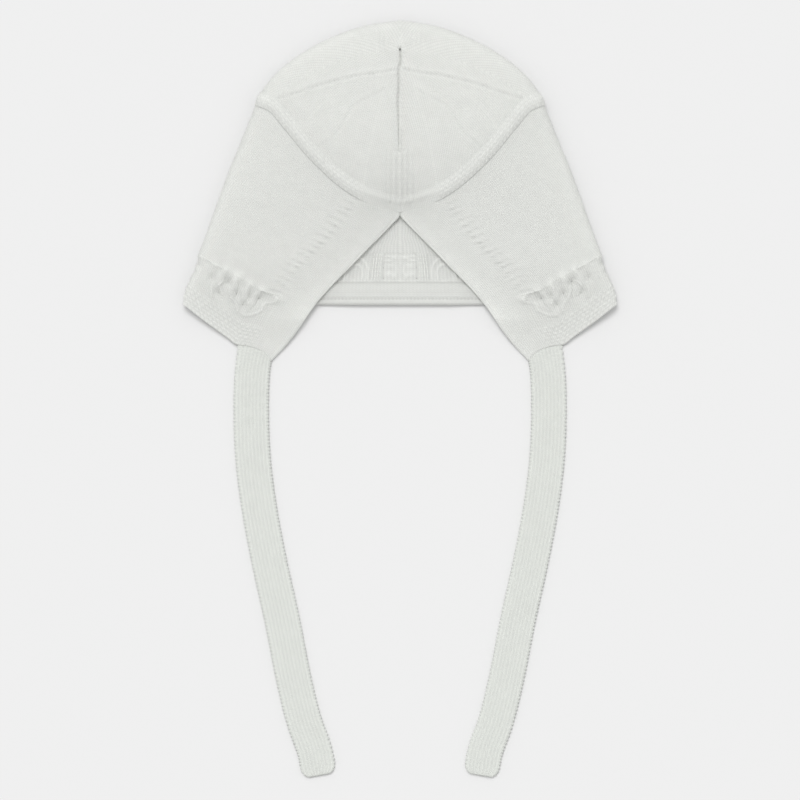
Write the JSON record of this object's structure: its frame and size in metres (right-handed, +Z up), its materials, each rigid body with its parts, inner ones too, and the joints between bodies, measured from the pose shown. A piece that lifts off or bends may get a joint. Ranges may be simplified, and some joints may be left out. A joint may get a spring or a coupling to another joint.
{
  "type": "baby bonnet",
  "caption": "Knitted cotton baby bonnet with a domed crown, leaf lace beside the face edge and long flat ties, laid flat on its front.",
  "frame": {"origin": "under the middle of the cap without its ties, on the surface that it lies on", "axes": "+X across the cap to its right as laid, +Y towards the top of the crown, +Z up from the surface"},
  "size_m": [0.2164, 0.3777, 0.0159],
  "materials": {
    "cotton_knit": "matt fine-gauge stocking stitch in off-white cotton",
    "seed_stitch": "matt seed stitch in off-white cotton",
    "lace_knit": "matt knitted leaf lace in off-white cotton",
    "tie_knit": "matt knitted cotton strap with chain edges"
  },
  "bodies": {
    "root": {"crown": "cotton_knit", "crown_welt": "seed_stitch", "side_panel": "cotton_knit", "lace_band": "lace_knit", "face_edging": "seed_stitch", "tie_left": "tie_knit", "tie_right": "tie_knit"}
  },
  "joints": []
}
